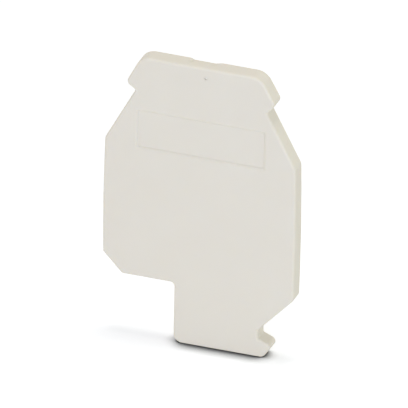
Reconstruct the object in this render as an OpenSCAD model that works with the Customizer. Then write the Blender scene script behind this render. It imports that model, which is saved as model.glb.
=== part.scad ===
/* [Plate] */
// Width across the bowed sides
plate_w = 28; // [25:0.5:32]
// Height from the bottom of the foot to the flat top
plate_h = 42.95; // [40:0.5:50]
// Thickness from the front face to the edge of the rim
plate_t = 2.6; // [2.2:0.1:4]
// How far each side bows out past its two corners
side_crown = 0.13; // [0.05:0.01:0.3]

/* [Cap and shoulders] */
// Width of the flat top between its sharp corners
cap_w = 17.44; // [14:0.02:19]
// How far the cap and its hooks sit left of the plate's centreline
cap_shift = 0.1; // [0:0.01:0.15]
// Rounding of the two top corners
cap_r = 2.3; // [0.5:0.1:2.6]
// Width across the tips of the two hooks
hook_w = 21.82; // [20:0.02:24]
// Depth of the left hook's tip below the top
left_hook_drop = 4.26; // [3:0.02:4.5]
// Depth of the right hook's tip below the top
right_hook_drop = 3.83; // [3:0.01:4.5]
// Rounding of the hook tips
hook_r = 0.8; // [0.3:0.05:0.9]
// Width between the two necks under the hooks
neck_w = 19.2; // [17:0.05:19.6]
// Depth of the necks below the top
neck_drop = 5.24; // [5:0.05:6.5]
// Rounding inside the necks
neck_r = 0.3; // [0.1:0.05:0.5]
// Depth of the left shoulder below the top
left_shoulder_drop = 13.3; // [11:0.02:16]
// Depth of the right shoulder below the top
right_shoulder_drop = 13.16; // [11:0.02:16]
// Rounding of the shoulders
shoulder_r = 1.3; // [0.5:0.1:3]

/* [Lower corners] */
// Height of the left corner above the bottom of the foot
left_corner_h = 12; // [11:0.02:15]
// Rounding of the left corner
left_corner_r = 0.5; // [0.3:0.1:1.5]
// How far the left slope runs in to the step
left_slope_w = 2.8; // [1.5:0.1:5]
// Rounding where the left slope meets the step
left_slope_r = 0.5; // [0.3:0.1:1.5]
// Height of the right corner above the bottom of the foot
right_corner_h = 9.51; // [8:0.02:12]
// Rounding of the right corner
right_corner_r = 0.9; // [0.3:0.1:1.5]

/* [Foot] */
// Left side of the foot, left of the centreline
foot_left = 3.44; // [2:0.02:6]
// Right end of the flat bottom, right of the centreline
foot_right = 9.57; // [8:0.1:10.5]
// Height of the step beside the foot
step_h = 9.1; // [7:0.1:10]
// Rounding inside the step
step_r = 0.6; // [0.3:0.1:1.5]
// Rounding of the bottom left corner
foot_left_r = 1.2; // [0.4:0.1:2]
// Rounding of the bottom right corner
foot_right_r = 1.0; // [0.4:0.1:1.4]
// How far the rail lip reaches out past the flat bottom
lip_reach = 1.38; // [1:0.01:1.8]
// Height of the tip of the rail lip
lip_h = 1.93; // [1.8:0.01:2.2]
// Rounding of the tip of the rail lip
lip_r = 0.7; // [0.4:0.05:0.8]
// How far the notch above the lip cuts in from the end of the flat bottom
notch_in = 0.75; // [0.5:0.01:1.2]
// Height of the foot of the notch's upright wall
notch_h = 2.8; // [2.6:0.01:3.1]
// Height of the notch's upright wall
notch_wall = 1.27; // [0.8:0.01:1.5]
// Rounding at the foot of the notch's wall
notch_r = 0.2; // [0.1:0.05:0.6]
// Rounding at the top of the notch's wall
notch_top_r = 0.2; // [0.1:0.05:0.4]

/* [Edges] */
// Rounding of the front edge, all the way round
front_r = 0.38; // [0.2:0.02:0.5]
// Chamfer of the outer back edge
back_chamfer = 0.08; // [0.04:0.02:0.16]

/* [Back] */
// Thickness of the rim that stands round the hollow back
rim_t = 0.8; // [0.6:0.05:0.85]
// Thickness of the web behind the front face
web_t = 1.2; // [0.9:0.1:1.6]

/* [Pegs] */
// Diameter of the three round pegs
peg_d = 2.3; // [1.8:0.1:3]
// How far the pegs stand out past the rim
peg_l = 2.6; // [1.5:0.1:4]
// Length of the tapered tip of a peg
peg_lead = 0.5; // [0.2:0.1:0.8]
// How much narrower the tip ends, on the radius
peg_taper = 0.3; // [0.1:0.05:0.5]
// Diameter of the boss under each peg
boss_d = 4; // [3.4:0.1:5]
// Distance between the two upper pegs
peg_span = 17; // [14:0.5:19]
// Depth of the upper pegs below the top
peg_drop = 17.5; // [15:0.5:22]
// Place of the lower peg, right of the centreline
foot_peg_x = 3; // [1.5:0.1:5]
// Height of the lower peg
foot_peg_h = 5.4; // [4:0.1:9]

/* [Marker recess] */
// Width of the shallow recess in the front face
panel_w = 19.3; // [12:0.1:20]
// Height of the recess
panel_h = 6.46; // [3:0.02:7]
// Depth of the recess
panel_depth = 0.26; // [0.1:0.01:0.4]
// Depth of the recess's upper edge below the top
panel_drop = 7.86; // [7:0.02:12]
// How far the recess sits right of the centreline
panel_shift = 0.05; // [-0.3:0.05:0.3]
// Rounding of the corners of the recess
panel_r = 0.3; // [0.2:0.05:0.6]
// Rounding of the walls of the recess, from the face down to the floor
panel_soft = 0.65; // [0.45:0.01:0.9]

/* [Top nick] */
// Width of the nick in the back half of the top edge
nick_w = 4.8; // [3:0.1:8]
// Depth of the nick
nick_depth = 0.26; // [0.1:0.02:0.4]
// Length of the nick's steep left end
nick_left_slope = 0.5; // [0.2:0.1:1]
// Length of the nick's gentle right end
nick_right_slope = 1.2; // [0.4:0.1:1.6]
// How far the nick runs forward from the back
nick_run = 1.3; // [0.8:0.1:1.6]

/* [Gate mark] */
// Diameter of the small moulding mark near the top
gate_d = 0.36; // [0.2:0.02:0.6]
// Depth of the mark
gate_depth = 0.14; // [0.05:0.01:0.25]
// Distance of the mark right of the centreline
gate_x = 0.65; // [-3:0.05:3]
// Depth of the mark below the top
gate_drop = 1.49; // [1:0.01:3]

/* [Hidden] */

// Largest turn between two points of a rounded corner, in degrees
arc_step = 6;
// Number of flats across the front edge's rounding
edge_steps = 8;
// Number of flats across the rounded wall of the marker recess
wall_steps = 8;
// Smallest rounding left on a corner that is moved inwards
least_r = 0.2;
// Share of the shorter neighbouring side that a corner's rounding may take up
round_share = 0.6;
// Rounding at the middle of each side, so large that the share above sets it
bow_r = 1000;
// How far one form reaches into the next so that they join
joint = 0.2;
// How far a cutter stands out past the face that it cuts
clear = 0.5;
// Flats round a peg and its boss
round_steps = 48;

front_y = -plate_t / 2;
back_y = plate_t / 2;
shoulder_x = plate_w / 2 - side_crown;
// The sharp corner at the middle of a side, which its rounding brings back to the plate's full width
bow_x = plate_w / 2 + side_crown * round_share / (2 - round_share);
left_shoulder_z = plate_h - left_shoulder_drop;
right_shoulder_z = plate_h - right_shoulder_drop;
notch_x = foot_right - notch_in;
right_mid_z = (right_corner_h + right_shoulder_z) / 2;
left_mid_z = (left_corner_h + left_shoulder_z) / 2;

// One side of the shoulder and cap, from the bottom up: x, z and rounding of each corner
function upper_side(shoulder_z, hook_drop, shift) = [
    [shoulder_x, shoulder_z, shoulder_r],
    [neck_w / 2, plate_h - neck_drop, neck_r],
    [hook_w / 2 + shift, plate_h - hook_drop, hook_r],
    [cap_w / 2 + shift, plate_h, cap_r]
];
upper_right = upper_side(right_shoulder_z, right_hook_drop, -cap_shift);
upper_left = upper_side(left_shoulder_z, left_hook_drop, cap_shift);
// The whole outline seen from the front, anticlockwise from the bottom left of the foot
corners = [
    [-foot_left, 0, foot_left_r],
    [foot_right, 0, foot_right_r],
    [foot_right + lip_reach, lip_h, lip_r],
    [notch_x, notch_h, notch_r],
    [notch_x, notch_h + notch_wall, notch_top_r],
    [shoulder_x, right_corner_h, right_corner_r],
    [bow_x, right_mid_z, bow_r],
    each upper_right,
    for (i = [len(upper_left) - 1:-1:0]) let (c = upper_left[i]) [-c[0], c[1], c[2]],
    [-bow_x, left_mid_z, bow_r],
    [-shoulder_x, left_corner_h, left_corner_r],
    [-shoulder_x + left_slope_w, step_h, left_slope_r],
    [-foot_left, step_h, step_r]
];

// The rim's cross-section: distance in from the outline, and depth
rim_section = [
    [rim_t, front_y],
    for (i = [edge_steps:-1:0]) let (a = 90 * i / edge_steps)
        [front_r * (1 - cos(a)), front_y + front_r * (1 - sin(a))],
    [0, back_y - back_chamfer],
    [back_chamfer, back_y],
    [rim_t, back_y]
];

panel_left = panel_shift - panel_w / 2;
panel_right = panel_shift + panel_w / 2;
panel_top = plate_h - panel_drop;
panel_corners = [
    [panel_left, panel_top - panel_h, panel_r],
    [panel_right, panel_top - panel_h, panel_r],
    [panel_right, panel_top, panel_r],
    [panel_left, panel_top, panel_r]
];
// Slope of the recess's wall where its rounding meets the floor
panel_slope = acos(1 - panel_depth / panel_soft);
// The recess's wall, from in front of the face down to the floor: distance in, and depth
panel_section = [
    [-panel_soft * sin(panel_slope / wall_steps), front_y - clear],
    for (i = [-1, each [1:wall_steps]]) let (a = panel_slope * i / wall_steps)
        [panel_soft * sin(a), front_y + sign(i) * panel_soft * (1 - cos(a))]
];

function flat(p) = [p[0], p[1]];
function unit(v) = v / norm(v);
function left_of(v) = [-v[1], v[0]];
function turned(v, a) = [v[0] * cos(a) - v[1] * sin(a), v[0] * sin(a) + v[1] * cos(a)];

// Points round one corner after the outline is moved in by inset
function rounded(before, at, after, inset) =
    let (
        in_side = flat(at) - flat(before),
        out_side = flat(after) - flat(at),
        n_in = left_of(unit(in_side)),
        n_out = left_of(unit(out_side)),
        bend = atan2(cross(n_in, n_out), n_in * n_out),
        way = sign(bend),
        room = round_share * min(norm(in_side), norm(out_side)),
        own_r = min(at[2], room / tan(abs(bend) / 2)),
        r = way > 0 ? max(own_r - inset, least_r) : own_r + inset,
        centre = flat(at) + (inset + way * r) * (n_in + n_out) / (1 + n_in * n_out),
        steps = max(2, ceil(abs(bend) / arc_step))
    )
    [for (i = [0:steps]) centre - way * r * turned(n_in, bend * i / steps)];

// A closed outline with its corners rounded, moved in by inset, with as many points at every inset
function ring(outline, inset) =
    let (n = len(outline))
    [for (i = [0:n - 1]) each rounded(outline[(i + n - 1) % n], outline[i], outline[(i + 1) % n], inset)];

// One ring of points in space for each point of a section
function rings(outline, section) =
    [for (s = section) [for (p = ring(outline, s[0])) [p[0], s[1], p[1]]]];

// The faces between ring i and the ring next of it, each with n points
function wall(i, next, n) =
    [for (j = [0:n - 1]) let (k = (j + 1) % n) [i * n + j, i * n + k, next * n + k, next * n + j]];

// The rim, carried round the outline as one closed band
module rim() {
    loops = rings(corners, rim_section);
    m = len(loops);
    polyhedron(
        points = [for (r = loops) each r],
        faces = [for (i = [0:m - 1]) each wall(i, (i + 1) % m, len(loops[0]))]
    );
}

// The flat web that closes the front of the rim
module web() {
    translate([0, front_y + web_t, 0])
        rotate([90, 0, 0])
            linear_extrude(height = web_t)
                polygon(ring(corners, rim_t - joint));
}

// A round peg on its boss, standing on the web and pointing back
module peg(x, z) {
    boss_h = plate_t - web_t + joint;
    translate([x, front_y + web_t - joint, z])
        rotate([-90, 0, 0]) {
            cylinder(d = boss_d, h = boss_h, $fn = round_steps);
            cylinder(d = peg_d, h = boss_h + peg_l - peg_lead, $fn = round_steps);
            translate([0, 0, boss_h + peg_l - peg_lead])
                cylinder(r1 = peg_d / 2, r2 = peg_d / 2 - peg_taper, h = peg_lead, $fn = round_steps);
        }
}

module pegs() {
    for (side = [-1, 1])
        peg(side * peg_span / 2, plate_h - peg_drop);
    peg(foot_peg_x, foot_peg_h);
}

// The marker recess, with rounded walls
module panel_cut() {
    loops = rings(panel_corners, panel_section);
    m = len(loops);
    n = len(loops[0]);
    polyhedron(
        points = [for (r = loops) each r],
        faces = [
            for (i = [0:m - 2]) each wall(i, i + 1, n),
            [for (j = [n - 1:-1:0]) j],
            [for (j = [0:n - 1]) (m - 1) * n + j]
        ]
    );
}

// The nick across the back half of the top edge
module nick_cut() {
    left = -nick_w / 2;
    right = nick_w / 2;
    rise = clear / nick_depth;
    translate([0, back_y + clear, plate_h])
        rotate([90, 0, 0])
            linear_extrude(height = nick_run + clear)
                polygon([
                    [left - rise * nick_left_slope, clear],
                    [left + nick_left_slope, -nick_depth],
                    [right - nick_right_slope, -nick_depth],
                    [right + rise * nick_right_slope, clear]
                ]);
}

// The small round mark left where the plastic was fed into the mould
module gate_cut() {
    translate([gate_x, front_y + gate_depth, plate_h - gate_drop])
        rotate([90, 0, 0])
            cylinder(d = gate_d, h = gate_depth + clear, $fn = round_steps);
}

module end_cover() {
    color("#dedbd4")
        difference() {
            union() {
                rim();
                web();
                pegs();
            }
            panel_cut();
            nick_cut();
            gate_cut();
        }
}

end_cover();
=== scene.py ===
from math import sin, cos, radians, pi

import bpy
from mathutils import Matrix, Vector

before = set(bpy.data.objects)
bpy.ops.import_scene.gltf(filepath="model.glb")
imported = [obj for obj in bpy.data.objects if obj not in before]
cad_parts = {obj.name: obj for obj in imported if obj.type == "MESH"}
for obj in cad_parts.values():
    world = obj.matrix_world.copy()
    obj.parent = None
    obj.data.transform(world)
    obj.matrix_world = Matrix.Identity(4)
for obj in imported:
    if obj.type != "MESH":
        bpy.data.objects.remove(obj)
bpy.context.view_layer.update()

mm = 0.001
print("frame loaded:", ", ".join(sorted(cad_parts)))


def toLinear(hexColour):
    # sRGB hex, as a colour picker gives it, to the linear value a shader takes
    parts = [int(hexColour[i:i + 2], 16) / 255 for i in (1, 3, 5)]
    return [p / 12.92 if p <= 0.04045 else ((p + 0.055) / 1.055) ** 2.4 for p in parts] + [1.0]


def addNode(tree, kind, settings=None, links=None):
    # a setting is a socket's value where the node has a socket of that name or number
    node = tree.nodes.new(kind)
    for name, value in (settings or {}).items():
        if isinstance(name, str) and name not in node.inputs:
            setattr(node, name, value)
        else:
            node.inputs[name].default_value = value
    for name, source in (links or {}).items():
        tree.links.new(source, node.inputs[name])
    return node


def newMaterial(name):
    material = bpy.data.materials.new(name)
    material.use_nodes = True
    material.node_tree.nodes.clear()
    return material, material.node_tree


def direction(azimuth, elevation):
    # azimuth 0 is the front, more of it goes round to the right
    a, e = radians(azimuth), radians(elevation)
    return Vector((sin(a) * cos(e), -cos(a) * cos(e), sin(e)))


# the photo's view, without perspective
photo = {
    "azimuth": 19.2,               # degrees round towards the lip side
    "elevation": 27.6,             # degrees above level
    "roll": 1.05,                  # degrees that uprights lean to the right
    "pixelsPerMm": 7.3,
    "pixels": 408,
    "mark": (0, -1.3, 0),          # mm, middle of the foot's front edge
    "markAt": (196.4, 346.25),     # where that point shows, in pixels
    "distance": 0.6,               # metres, of no effect without perspective
    "clip": (0.01, 10),            # metres
}


def addCamera(values):
    back = direction(values["azimuth"], values["elevation"])
    side = Vector((-back.y, back.x, 0)).normalized()
    up = back.cross(side)
    r = radians(values["roll"])
    side, up = side * cos(r) + up * sin(r), up * cos(r) - side * sin(r)
    half = values["pixels"] / 2
    across, down = ((values["markAt"][i] - half) / values["pixelsPerMm"] for i in (0, 1))
    middle = (Vector(values["mark"]) - side * across + up * down) * mm
    data = bpy.data.cameras.new("camera")
    data.type = "ORTHO"
    data.ortho_scale = values["pixels"] / values["pixelsPerMm"] * mm
    data.clip_start, data.clip_end = values["clip"]
    camera = bpy.data.objects.new("camera", data)
    turn = Matrix((side, up, back)).transposed().to_4x4()
    camera.matrix_world = Matrix.Translation(middle + back * values["distance"]) @ turn
    bpy.context.collection.objects.link(camera)
    bpy.context.scene.camera = camera


addCamera(photo)
print("camera set")

# polyamide 6.6, injection moulded in a spark-eroded tool: an even off-white with a matt,
# finely pitted skin, a little soft where light gets under thin edges
polyamide = {
    "colour": "#e3dccd",
    "deepColour": "#e0d8c8",       # where the melt ran slower
    "deepShare": 0.35,             # the most of that colour that shows
    "cloudSize": 7.0,              # mm, flow marks, very faint
    "cloudDetail": 3,
    "cloudRange": (0.35, 0.7),     # the part of the noise that makes the marks
    "gateAt": (0.65, -1.3, 41.46),           # mm, where the melt came in
    "gateTones": ((0.55, 0.1, "#dbd4c6"),    # mm out, mm in: a faint grey blush round the mark
                  (0.2, 0.16, "#f1ede3")),   # and paler torn plastic inside it
    "roughness": 0.5,
    "roughSpread": 0.06,
    "ior": 1.53,
    "pitSize": 0.16,               # mm; the real pits are 0.05 mm, too fine to show
    "pitDetail": 2,
    "pitRoughness": 0.6,
    "pitRange": (0.3, 0.7),        # the part of the noise that changes the gloss
    "pitDepth": 0.0022,            # mm
    "waveSize": 5.0,               # mm, the slow unevenness of a cooled flat wall
    "waveDetail": 1,
    "waveDepth": 0.002,            # mm
    "softShare": 0.2,              # of the light that goes under the skin
    "softDepth": 0.35,             # mm that it travels there
    "softRadius": (1.0, 0.8, 0.5),   # times that for red, green and blue
}


def mouldedPolyamide(values):
    material, tree = newMaterial("mouldedPolyamide")
    place = addNode(tree, "ShaderNodeTexCoord").outputs["Object"]
    clouds = addNode(tree, "ShaderNodeTexNoise",
                     {"Scale": 1 / (values["cloudSize"] * mm), "Detail": values["cloudDetail"]},
                     {"Vector": place}).outputs["Fac"]
    low, high = values["cloudRange"]
    deep = addNode(tree, "ShaderNodeMapRange",
                   {"From Min": low, "From Max": high, "To Max": values["deepShare"]},
                   {"Value": clouds}).outputs["Result"]
    colour = addNode(tree, "ShaderNodeMix",
                     {"data_type": "RGBA", 6: toLinear(values["colour"]),
                      7: toLinear(values["deepColour"])}, {0: deep}).outputs[2]
    away = addNode(tree, "ShaderNodeVectorMath",
                   {"operation": "DISTANCE", 1: Vector(values["gateAt"]) * mm},
                   {0: place}).outputs["Value"]
    for outer, inner, tone in values["gateTones"]:
        near = addNode(tree, "ShaderNodeMapRange",
                       {"interpolation_type": "SMOOTHSTEP", "From Min": inner * mm,
                        "From Max": outer * mm, "To Min": 1, "To Max": 0},
                       {"Value": away}).outputs["Result"]
        colour = addNode(tree, "ShaderNodeMix", {"data_type": "RGBA", 7: toLinear(tone)},
                         {0: near, 6: colour}).outputs[2]
    pits = addNode(tree, "ShaderNodeTexNoise",
                   {"Scale": 1 / (values["pitSize"] * mm), "Detail": values["pitDetail"],
                    "Roughness": values["pitRoughness"]}, {"Vector": place}).outputs["Fac"]
    low, high = values["pitRange"]
    rough = addNode(tree, "ShaderNodeMapRange",
                    {"From Min": low, "From Max": high,
                     "To Min": values["roughness"] - values["roughSpread"],
                     "To Max": values["roughness"] + values["roughSpread"]},
                    {"Value": pits}).outputs["Result"]
    waves = addNode(tree, "ShaderNodeTexNoise",
                    {"Scale": 1 / (values["waveSize"] * mm), "Detail": values["waveDetail"]},
                    {"Vector": place}).outputs["Fac"]
    slow = addNode(tree, "ShaderNodeBump", {"Strength": 1, "Distance": values["waveDepth"] * mm},
                   {"Height": waves}).outputs["Normal"]
    skin = addNode(tree, "ShaderNodeBump", {"Strength": 1, "Distance": values["pitDepth"] * mm},
                   {"Height": pits, "Normal": slow}).outputs["Normal"]
    shader = addNode(tree, "ShaderNodeBsdfPrincipled",
                     {"IOR": values["ior"], "Subsurface Weight": values["softShare"],
                      "Subsurface Radius": values["softRadius"],
                      "Subsurface Scale": values["softDepth"] * mm},
                     {"Base Color": colour, "Roughness": rough, "Normal": skin})
    addNode(tree, "ShaderNodeOutputMaterial", links={"Surface": shader.outputs[0]})
    return material


# how the cover's facets are shaded
facets = {
    "joinWithin": 0.001,           # mm, corners closer than this are one
    "sharpOver": 24,               # degrees, a bend beyond this stays an edge
}


def smoothSkin(piece, values):
    # joins the corners that the frame keeps apart, then shades every lesser bend as one
    # surface; no point of the piece moves
    tree = bpy.data.node_groups.new("smoothSkin", "GeometryNodeTree")
    for way in ("INPUT", "OUTPUT"):
        tree.interface.new_socket("Geometry", in_out=way, socket_type="NodeSocketGeometry")
    start = addNode(tree, "NodeGroupInput").outputs[0]
    joined = addNode(tree, "GeometryNodeMergeByDistance",
                     {"Distance": values["joinWithin"] * mm}, {"Geometry": start}).outputs[0]
    whole = addNode(tree, "GeometryNodeSetShadeSmooth", {"domain": "FACE", "Shade Smooth": True},
                    {"Geometry": joined}).outputs[0]
    bend = addNode(tree, "GeometryNodeInputMeshEdgeAngle").outputs[0]
    sharp = addNode(tree, "FunctionNodeCompare",
                    {"operation": "GREATER_THAN", 1: radians(values["sharpOver"])},
                    {0: bend}).outputs[0]
    edged = addNode(tree, "GeometryNodeSetShadeSmooth", {"domain": "EDGE", "Shade Smooth": False},
                    {"Geometry": whole, "Selection": sharp}).outputs[0]
    addNode(tree, "NodeGroupOutput", links={0: edged})
    piece.modifiers.new("smoothSkin", "NODES").node_group = tree
    piece.modifiers.new("evenNormals", "WEIGHTED_NORMAL").keep_sharp = True


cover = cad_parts["end_cover"]
cover.data.materials.clear()
cover.data.materials.append(mouldedPolyamide(polyamide))
smoothSkin(cover, facets)
print("cover dressed")

# matt white card under the cover, so pale that it meets the white around it; near the foot its
# colour is darkened into a painted contact shadow
floor = {
    "size": 3.0,                   # metres
    "colour": "#f7f7f7",
    "lift": 0.262,                 # what the camera alone sees added, 1 being white
    # the colour of the painted contact shadow, which the card turns towards near the foot
    "paintedShadowColour": "#565656",
    "contactWidth": 2.8,           # mm round the foot where the card darkens with painted shadow
    "contactLean": (0.12, 0.55, 1),   # the way each point looks out for the foot
    "contactShut": 0.37,           # share of open air at which the painted shadow is darkest
    "contactOpen": 0.85,           # share of open air from which the card is bare of painted shadow
    "contactEase": 0.6,            # under 1: the painted shadow clears quickly, then slowly
    "contactSamples": 24,
}


def addFloor(values):
    half = values["size"] / 2
    corners = [(x * half, y * half, 0) for x, y in ((-1, -1), (1, -1), (1, 1), (-1, 1))]
    mesh = bpy.data.meshes.new("floor")
    mesh.from_pydata(corners, [], [(0, 1, 2, 3)])
    card = bpy.data.objects.new("floor", mesh)
    bpy.context.collection.objects.link(card)
    material, tree = newMaterial("mattWhiteCardWithPaintedShadow")
    seen = addNode(tree, "ShaderNodeLightPath").outputs["Is Camera Ray"]
    # painted contact shadow: for the camera only, the card's colour darkens and its lift fades
    # where the foot shuts off the open air
    lean = addNode(tree, "ShaderNodeVectorMath",
                   {"operation": "NORMALIZE", 0: values["contactLean"]}).outputs[0]
    air = addNode(tree, "ShaderNodeAmbientOcclusion",
                  {"samples": values["contactSamples"], "Distance": values["contactWidth"] * mm},
                  {"Normal": lean}).outputs["AO"]
    bare = addNode(tree, "ShaderNodeMapRange",
                   {"From Min": values["contactShut"], "From Max": values["contactOpen"]},
                   {"Value": air}).outputs["Result"]
    bare = addNode(tree, "ShaderNodeMath", {"operation": "POWER", 1: values["contactEase"]},
                   {0: bare}).outputs[0]
    lift = addNode(tree, "ShaderNodeMath", {"operation": "MULTIPLY", 1: values["lift"]},
                   {0: seen}).outputs[0]
    lift = addNode(tree, "ShaderNodeMath", {"operation": "MULTIPLY"}, {0: lift, 1: bare}).outputs[0]
    # how far the painted shadow takes the colour towards the shadow colour, seen by the camera only
    dark = addNode(tree, "ShaderNodeMath", {"operation": "SUBTRACT", 0: 1}, {1: bare}).outputs[0]
    dark = addNode(tree, "ShaderNodeMath", {"operation": "MULTIPLY"}, {0: dark, 1: seen}).outputs[0]
    colour = addNode(tree, "ShaderNodeMix",
                     {"data_type": "RGBA", 6: toLinear(values["colour"]),
                      7: toLinear(values["paintedShadowColour"])}, {0: dark}).outputs[2]
    shader = addNode(tree, "ShaderNodeBsdfPrincipled",
                     {"Roughness": 1, "Specular IOR Level": 0, "Emission Color": (1, 1, 1, 1)},
                     {"Base Color": colour, "Emission Strength": lift})
    addNode(tree, "ShaderNodeOutputMaterial", links={"Surface": shader.outputs[0]})
    mesh.materials.append(material)


addFloor(floor)
print("floor laid")

# soft studio light: an even pale room, a box low in front, weak boxes at the sides and a
# narrow strip overhead, turned a little, that lays the faint shadow under the cover
studio = {
    "roomColour": "#ffffff",
    "roomLevel": 0.585,
    "aim": (0, 0, 20),             # mm, near the cover's middle
    "distance": 0.6,               # metres from there to each lamp
    "lamps": {                     # angles in degrees, length and width in metres
        "front": {"azimuth": 20, "elevation": 12, "turn": 0, "length": 0.3, "width": 0.3,
                  "level": 0.4, "colour": "#d5e2ff"},
        "left": {"azimuth": -60, "elevation": 25, "turn": 0, "length": 0.3, "width": 0.3,
                 "level": 0.06, "colour": "#ffffff"},
        "right": {"azimuth": 100, "elevation": 25, "turn": 0, "length": 0.3, "width": 0.3,
                  "level": 0.09, "colour": "#f0ffd0"},
        "overhead": {"azimuth": 180, "elevation": 86, "turn": 35, "length": 0.22, "width": 0.1,
                     "level": 0.21, "colour": "#ffffff"},
    },
}


def addLamp(name, values, aim, distance):
    away = direction(values["azimuth"], values["elevation"])
    data = bpy.data.lights.new(name, "AREA")
    data.shape = "RECTANGLE"
    data.size, data.size_y = values["length"], values["width"]
    data.energy = values["level"] * pi ** 2 * distance ** 2   # watts for that level, face on
    data.color = toLinear(values["colour"])[:3]
    lamp = bpy.data.objects.new(name, data)
    turn = Matrix.Rotation(radians(values["turn"]), 3, "Z")
    facing = away.to_track_quat("Z", "Y").to_matrix() @ turn
    lamp.matrix_world = Matrix.Translation(aim + away * distance) @ facing.to_4x4()
    bpy.context.collection.objects.link(lamp)


def addRoom(values):
    # the camera and mirrors see plain white, everything else is lit by the room
    world = bpy.data.worlds.new("room")
    bpy.context.scene.world = world
    world.use_nodes = True
    tree = world.node_tree
    tree.nodes.clear()
    rays = addNode(tree, "ShaderNodeLightPath").outputs
    seen = rays["Is Camera Ray"]
    for name in ("Is Glossy Ray", "Is Transmission Ray"):
        seen = addNode(tree, "ShaderNodeMath", {"operation": "MAXIMUM"},
                       {0: seen, 1: rays[name]}).outputs[0]
    light = addNode(tree, "ShaderNodeBackground",
                    {"Color": toLinear(values["roomColour"]),
                     "Strength": values["roomLevel"]}).outputs[0]
    white = addNode(tree, "ShaderNodeBackground", {"Color": (1, 1, 1, 1), "Strength": 1}).outputs[0]
    mixed = addNode(tree, "ShaderNodeMixShader", links={0: seen, 1: light, 2: white}).outputs[0]
    addNode(tree, "ShaderNodeOutputWorld", links={"Surface": mixed})


for lampName, lampValues in studio["lamps"].items():
    addLamp(lampName, lampValues, Vector(studio["aim"]) * mm, studio["distance"])
addRoom(studio)
bpy.context.scene.view_settings.view_transform = "Standard"
print("lights set")
